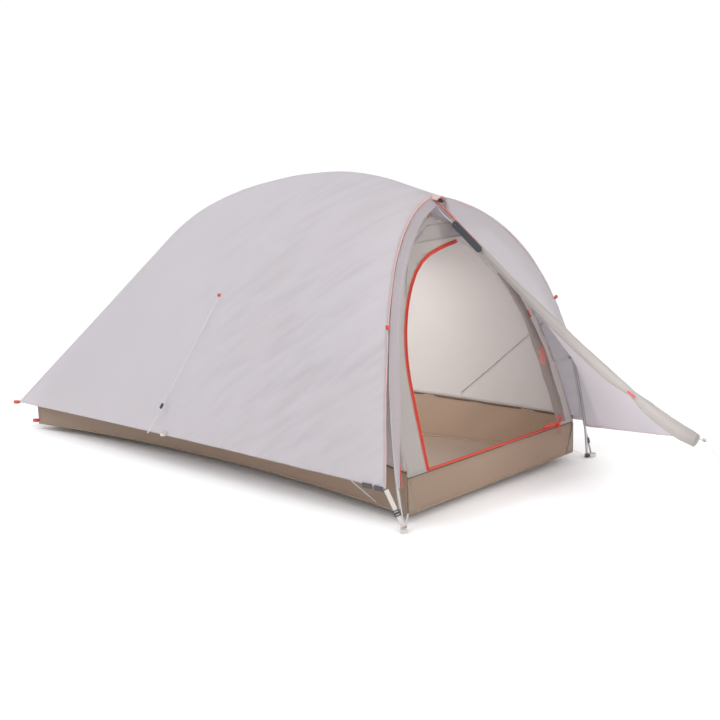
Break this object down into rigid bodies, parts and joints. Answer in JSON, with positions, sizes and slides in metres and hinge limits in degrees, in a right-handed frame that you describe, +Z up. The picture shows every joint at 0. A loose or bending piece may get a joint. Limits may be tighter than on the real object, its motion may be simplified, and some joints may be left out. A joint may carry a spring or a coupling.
{
  "type": "tent",
  "caption": "Small hiking tent on a Y-shaped pole set: hung inner with a tub floor, translucent fly with one porch half rolled up, zips, toggles and guylines.",
  "frame": {"origin": "on the ground, under the middle of the box round the tent without its guylines", "axes": "+Z up, -Y towards the door and porch, +Y towards the foot end, -X is the side whose porch half is rolled up"},
  "size_m": [1.1816, 3.3362, 1.0912],
  "materials": {
    "floor_cloth": "coated ripstop nylon, tan",
    "inner_cloth": "light breathable nylon and mesh",
    "fly_cloth": "thin translucent coated ripstop nylon",
    "pole_tube": "anodised tube, satin",
    "zip_red": "red woven zip tape and coil",
    "slider_metal": "red painted zip slider",
    "red_plastic": "red moulded plastic",
    "ferrule_metal": "turned aluminium",
    "shock_cord": "elastic cord in a woven sleeve",
    "dark_plastic": "dark moulded nylon",
    "strut_grey": "stiffened dark grey strip",
    "red_webbing": "red woven webbing",
    "dark_webbing": "dark woven webbing",
    "pale_webbing": "pale grey woven webbing",
    "guyline": "thin braided cord"
  },
  "bodies": {
    "tent": {"tub_floor": "floor_cloth", "tub_front_wall": "floor_cloth", "tub_rear_wall": "floor_cloth", "tub_left_wall": "floor_cloth", "tub_right_wall": "floor_cloth", "inner_front_wall": "inner_cloth", "inner_left_side": "inner_cloth", "inner_right_side": "inner_cloth", "inner_rear_wall": "inner_cloth", "inner_zip_tape": "zip_red", "inner_zip_coil": "zip_red", "inner_door_roll": "inner_cloth", "spine_pole_1": "pole_tube", "spine_pole_2": "pole_tube", "spine_pole_3": "pole_tube", "spine_pole_4": "pole_tube", "spine_pole_5": "pole_tube", "spine_pole_6": "pole_tube", "left_leg_1": "pole_tube", "left_leg_2": "pole_tube", "left_leg_3": "pole_tube", "right_leg_1": "pole_tube", "right_leg_2": "pole_tube", "right_leg_3": "pole_tube", "pole_ferrules": "ferrule_metal", "shock_cords": "shock_cord", "hub": "dark_plastic", "pole_tips": "ferrule_metal", "left_foot_cup": "dark_plastic", "right_foot_cup": "dark_plastic", "rear_foot_cup": "dark_plastic", "pole_clips": "dark_plastic", "clip_tabs": "dark_webbing", "fly_left_side": "fly_cloth", "fly_right_side": "fly_cloth", "fly_rear": "fly_cloth", "fly_porch": "fly_cloth", "fly_zip_flap": "fly_cloth", "fly_zip_coil": "zip_red", "fly_door_roll": "fly_cloth", "guy_tabs": "red_webbing", "hem_loops": "red_webbing", "hem_tags": "dark_webbing", "corner_straps": "pale_webbing", "tub_ties": "dark_webbing", "side_guyline": "guyline", "tip_guyline": "guyline"},
    "inner_zip_slider": {"inner_zip_slider": "slider_metal"},
    "inner_zip_pull": {"inner_zip_pull": "red_plastic"},
    "inner_door_toggle": {"inner_door_toggle": "red_plastic"},
    "fly_zip_slider": {"fly_zip_slider": "slider_metal"},
    "fly_zip_pull": {"fly_zip_pull": "red_plastic"},
    "fly_door_toggle": {"fly_door_toggle": "red_plastic"},
    "vent_strut": {"vent_strut": "strut_grey"},
    "left_strap_buckle": {"left_strap_buckle": "dark_plastic"},
    "right_strap_buckle": {"right_strap_buckle": "dark_plastic"},
    "side_guy_lock": {"side_guy_lock": "dark_plastic"}
  },
  "joints": [
    {"name": "inner_zip_travel", "type": "slide", "parent": "tent", "child": "inner_zip_slider", "axis": [-1, 0, 0], "range_m": [0, 0.73]},
    {"name": "inner_pull_swing", "type": "hinge", "parent": "inner_zip_slider", "child": "inner_zip_pull", "pos_m": [0.376, -0.8084, 0.1558], "axis": [0, 1, 0], "range_deg": [-70, 70]},
    {"name": "inner_toggle_turn", "type": "hinge", "parent": "tent", "child": "inner_door_toggle", "pos_m": [0.3363, -0.7027, 0.5635], "axis": [0, -0.9565, 0.2917], "range_deg": [0, 90]},
    {"name": "fly_zip_travel", "type": "hinge", "parent": "tent", "child": "fly_zip_slider", "pos_m": [0.0944, -0.5973, 0.3841], "axis": [0.2739, -0.9532, 0.1282], "range_deg": [0, 44]},
    {"name": "fly_pull_swing", "type": "hinge", "parent": "fly_zip_slider", "child": "fly_zip_pull", "pos_m": [-0.0645, -0.5561, 0.9562], "axis": [-0.342, 0.9397, 0], "range_deg": [-60, 60]},
    {"name": "fly_toggle_turn", "type": "hinge", "parent": "tent", "child": "fly_door_toggle", "pos_m": [-0.0313, -1.303, 0.3891], "axis": [-0.9535, -0.286, 0.0954], "range_deg": [0, 90]},
    {"name": "vent_strut_swing", "type": "hinge", "parent": "tent", "child": "vent_strut", "pos_m": [-0.0294, -0.6458, 0.9005], "axis": [0.9701, 0.2425, 0], "range_deg": [0, 45]},
    {"name": "right_buckle_slide", "type": "slide", "parent": "tent", "child": "right_strap_buckle", "axis": [-0.1836, -0.3674, -0.9118], "range_m": [-0.03, 0.015]},
    {"name": "left_buckle_slide", "type": "slide", "parent": "tent", "child": "left_strap_buckle", "axis": [0.1836, -0.3674, -0.9118], "range_m": [-0.03, 0.015]},
    {"name": "guy_lock_slide", "type": "slide", "parent": "tent", "child": "side_guy_lock", "axis": [-0.247, 0.4506, -0.8579], "range_m": [-0.3, 0.08]}
  ]
}
